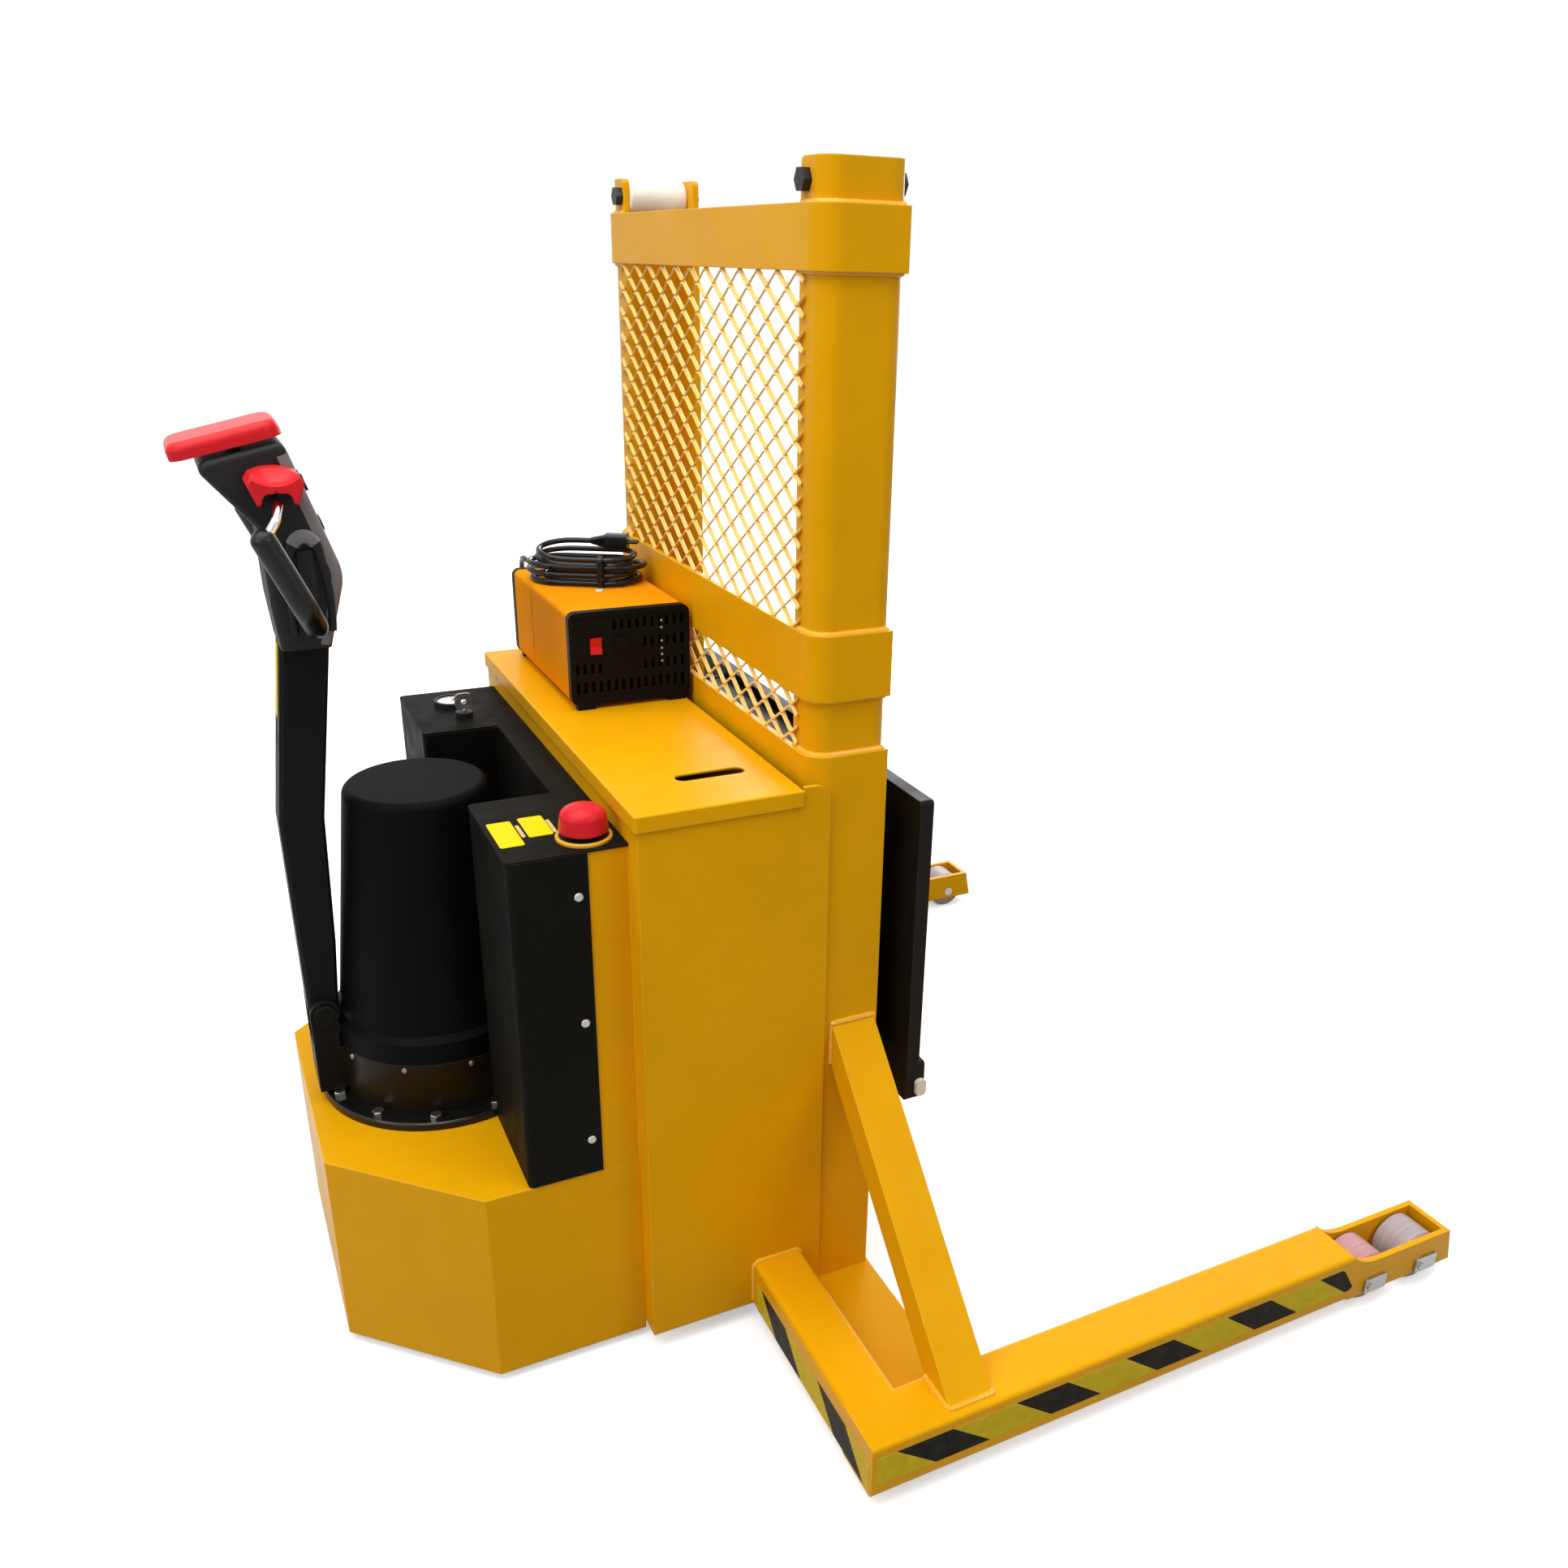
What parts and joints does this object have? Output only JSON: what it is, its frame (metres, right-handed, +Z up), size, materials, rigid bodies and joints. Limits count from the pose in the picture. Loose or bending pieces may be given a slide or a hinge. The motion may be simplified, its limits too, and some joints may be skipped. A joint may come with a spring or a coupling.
{
  "type": "roll handler",
  "caption": "Pedestrian straddle roll handler: steered drive unit with tiller, battery box and charger, mesh-guarded mast with a lifting carriage plate, and straddle legs on tandem rollers.",
  "frame": {"origin": "middle of the bounding box on the floor", "axes": "+X forward along the straddle legs, +Y to the operator's left, +Z up"},
  "size_m": [1.625, 1.528, 1.556],
  "materials": {
    "machine_yellow": "semi-gloss machine paint",
    "black_paint": "satin black paint",
    "black_plastic": "fine moulded grain",
    "red_plastic": "smooth",
    "grip_rubber": "smooth black rubber",
    "plated_rod": "hard chrome",
    "bright_steel": "zinc plated or ground",
    "roller_polyurethane": "cast polyurethane",
    "nylon": "turned nylon",
    "drive_tread": "bonded tread",
    "cast_parts": "as cast, painted",
    "grey_machine": "dark grey paint",
    "battery_case": "battery tray and cells",
    "charger_orange": "orange-yellow powder coat",
    "cord_sheath": "black sheath"
  },
  "bodies": {
    "chassis": {"drive_base": "machine_yellow", "battery_box": "machine_yellow", "control_cover": "black_paint", "console_panel": "black_paint", "cover_screws": "bright_steel", "traction_battery": "battery_case", "power_pack": "grey_machine", "mast_upright_left": "machine_yellow", "mast_upright_right": "machine_yellow", "mast_bands": "machine_yellow", "mast_lower_shroud": "machine_yellow", "mast_mesh": "machine_yellow", "leg_left": "machine_yellow", "leg_right": "machine_yellow", "wheel_axles": "bright_steel", "braces": "machine_yellow", "mast_foot_plate": "machine_yellow", "lift_cylinder": "grey_machine", "turntable_flange": "black_paint", "flange_bolts": "bright_steel", "stop_bolts": "bright_steel", "console_fittings": "black_plastic"},
    "drive_unit": {"steering_ring": "black_paint", "motor_cover": "black_plastic", "drive_motor": "grey_machine", "tiller_bracket": "black_paint", "drive_fork": "cast_parts"},
    "drive_wheel": {"drive_tyre": "drive_tread", "drive_hub": "cast_parts"},
    "tiller": {"tiller_arm": "black_plastic", "tiller_head": "black_plastic", "grip_loops": "grip_rubber", "grip_rods": "plated_rod", "pivot_pin": "bright_steel"},
    "throttle": {"throttle": "red_plastic"},
    "belly_switch": {"belly_switch": "red_plastic"},
    "horn_button": {"horn_button": "black_plastic"},
    "lift_rocker": {"lift_rocker": "black_plastic"},
    "estop_knob": {"estop_knob": "red_plastic"},
    "ignition_key": {"ignition_key": "bright_steel"},
    "battery_lid": {"battery_lid": "machine_yellow"},
    "charger": {"charger_case": "charger_orange", "charger_bezels": "black_plastic", "cord_coil": "cord_sheath", "cord_lead": "cord_sheath", "cord_plug": "cord_sheath"},
    "charger_switch": {"charger_switch": "red_plastic"},
    "carriage": {"carriage_plate": "black_paint", "carriage_frame": "black_paint", "lift_rod": "plated_rod"},
    "guide_roller_upper_left": {"guide_roller_upper_left": "bright_steel"},
    "guide_roller_upper_right": {"guide_roller_upper_right": "bright_steel"},
    "guide_roller_lower_left": {"guide_roller_lower_left": "bright_steel"},
    "guide_roller_lower_right": {"guide_roller_lower_right": "bright_steel"},
    "stop_roller_left": {"stop_roller_left": "nylon"},
    "stop_roller_right": {"stop_roller_right": "nylon"},
    "load_roller_front_left": {"load_roller_front_left": "roller_polyurethane"},
    "load_roller_front_right": {"load_roller_front_right": "roller_polyurethane"},
    "load_roller_rear_left": {"load_roller_rear_left": "roller_polyurethane"},
    "load_roller_rear_right": {"load_roller_rear_right": "roller_polyurethane"}
  },
  "joints": [
    {"name": "steer", "type": "hinge", "parent": "chassis", "child": "drive_unit", "pos_m": [-0.5685, 0, 0.317], "axis": [0, 0, 1], "range_deg": [-85, 85]},
    {"name": "drive_wheel_spin", "type": "hinge", "parent": "drive_unit", "child": "drive_wheel", "pos_m": [-0.5685, 0, 0.115], "axis": [0, 1, 0], "continuous": true},
    {"name": "tiller_swing", "type": "hinge", "parent": "drive_unit", "child": "tiller", "pos_m": [-0.7285, 0, 0.455], "axis": [0, -1, 0], "range_deg": [0, 80], "stiffness_Nm_per_rad": 24, "springref_deg": -28.65},
    {"name": "throttle_rock", "type": "hinge", "parent": "tiller", "child": "throttle", "pos_m": [-0.7045, 0, 1.196], "axis": [0, 1, 0], "range_deg": [-16, 16], "stiffness_Nm_per_rad": 0.8},
    {"name": "belly_press", "type": "slide", "parent": "tiller", "child": "belly_switch", "axis": [0.2249, 0, -0.9744], "range_m": [0, 0.005], "stiffness_N_per_m": 1500, "springref_m": -0.004},
    {"name": "horn_press", "type": "slide", "parent": "tiller", "child": "horn_button", "axis": [-0.9527, 0, -0.3039], "range_m": [0, 0.003], "stiffness_N_per_m": 500, "springref_m": -0.002},
    {"name": "lift_rock", "type": "hinge", "parent": "tiller", "child": "lift_rocker", "pos_m": [-0.67358, 0, 1.18106], "axis": [-0.3039, 0, 0.9527], "range_deg": [-6, 6], "stiffness_Nm_per_rad": 0.4},
    {"name": "estop_press", "type": "slide", "parent": "chassis", "child": "estop_knob", "axis": [0, 0, -1], "range_m": [0, 0.005]},
    {"name": "key_turn", "type": "hinge", "parent": "chassis", "child": "ignition_key", "pos_m": [-0.4545, 0.21, 0.79], "axis": [0, 0, -1], "range_deg": [0, 70]},
    {"name": "lid_lift", "type": "slide", "parent": "chassis", "child": "battery_lid", "axis": [0, 0, 1], "range_m": [0, 0.3]},
    {"name": "charger_lift", "type": "slide", "parent": "battery_lid", "child": "charger", "axis": [0, 0, 1], "range_m": [0, 0.25]},
    {"name": "charger_switch_tilt", "type": "hinge", "parent": "charger", "child": "charger_switch", "pos_m": [-0.2945, 0.032, 0.9286], "axis": [1, 0, 0], "range_deg": [-6, 6]},
    {"name": "carriage_lift", "type": "slide", "parent": "chassis", "child": "carriage", "axis": [0, 0, 1], "range_m": [0, 0.615]},
    {"name": "guide_roller_upper_left_spin", "type": "hinge", "parent": "carriage", "child": "guide_roller_upper_left", "pos_m": [-0.0825, 0.332, 0.736], "axis": [0, 1, 0], "continuous": true},
    {"name": "guide_roller_upper_right_spin", "type": "hinge", "parent": "carriage", "child": "guide_roller_upper_right", "pos_m": [-0.0825, -0.332, 0.736], "axis": [0, 1, 0], "continuous": true},
    {"name": "guide_roller_lower_left_spin", "type": "hinge", "parent": "carriage", "child": "guide_roller_lower_left", "pos_m": [-0.0825, 0.332, 0.4], "axis": [0, 1, 0], "continuous": true},
    {"name": "guide_roller_lower_right_spin", "type": "hinge", "parent": "carriage", "child": "guide_roller_lower_right", "pos_m": [-0.0825, -0.332, 0.4], "axis": [0, 1, 0], "continuous": true},
    {"name": "stop_roller_left_spin", "type": "hinge", "parent": "chassis", "child": "stop_roller_left", "pos_m": [-0.0825, 0.327, 1.532], "axis": [1, 0, 0], "continuous": true},
    {"name": "stop_roller_right_spin", "type": "hinge", "parent": "chassis", "child": "stop_roller_right", "pos_m": [-0.0825, -0.327, 1.532], "axis": [1, 0, 0], "continuous": true},
    {"name": "load_roller_front_left_spin", "type": "hinge", "parent": "chassis", "child": "load_roller_front_left", "pos_m": [0.7527, 0.715, 0.041], "axis": [0, 1, 0], "continuous": true},
    {"name": "load_roller_front_right_spin", "type": "hinge", "parent": "chassis", "child": "load_roller_front_right", "pos_m": [0.7527, -0.715, 0.041], "axis": [0, 1, 0], "continuous": true},
    {"name": "load_roller_rear_left_spin", "type": "hinge", "parent": "chassis", "child": "load_roller_rear_left", "pos_m": [0.6447, 0.715, 0.041], "axis": [0, 1, 0], "continuous": true},
    {"name": "load_roller_rear_right_spin", "type": "hinge", "parent": "chassis", "child": "load_roller_rear_right", "pos_m": [0.6447, -0.715, 0.041], "axis": [0, 1, 0], "continuous": true}
  ]
}
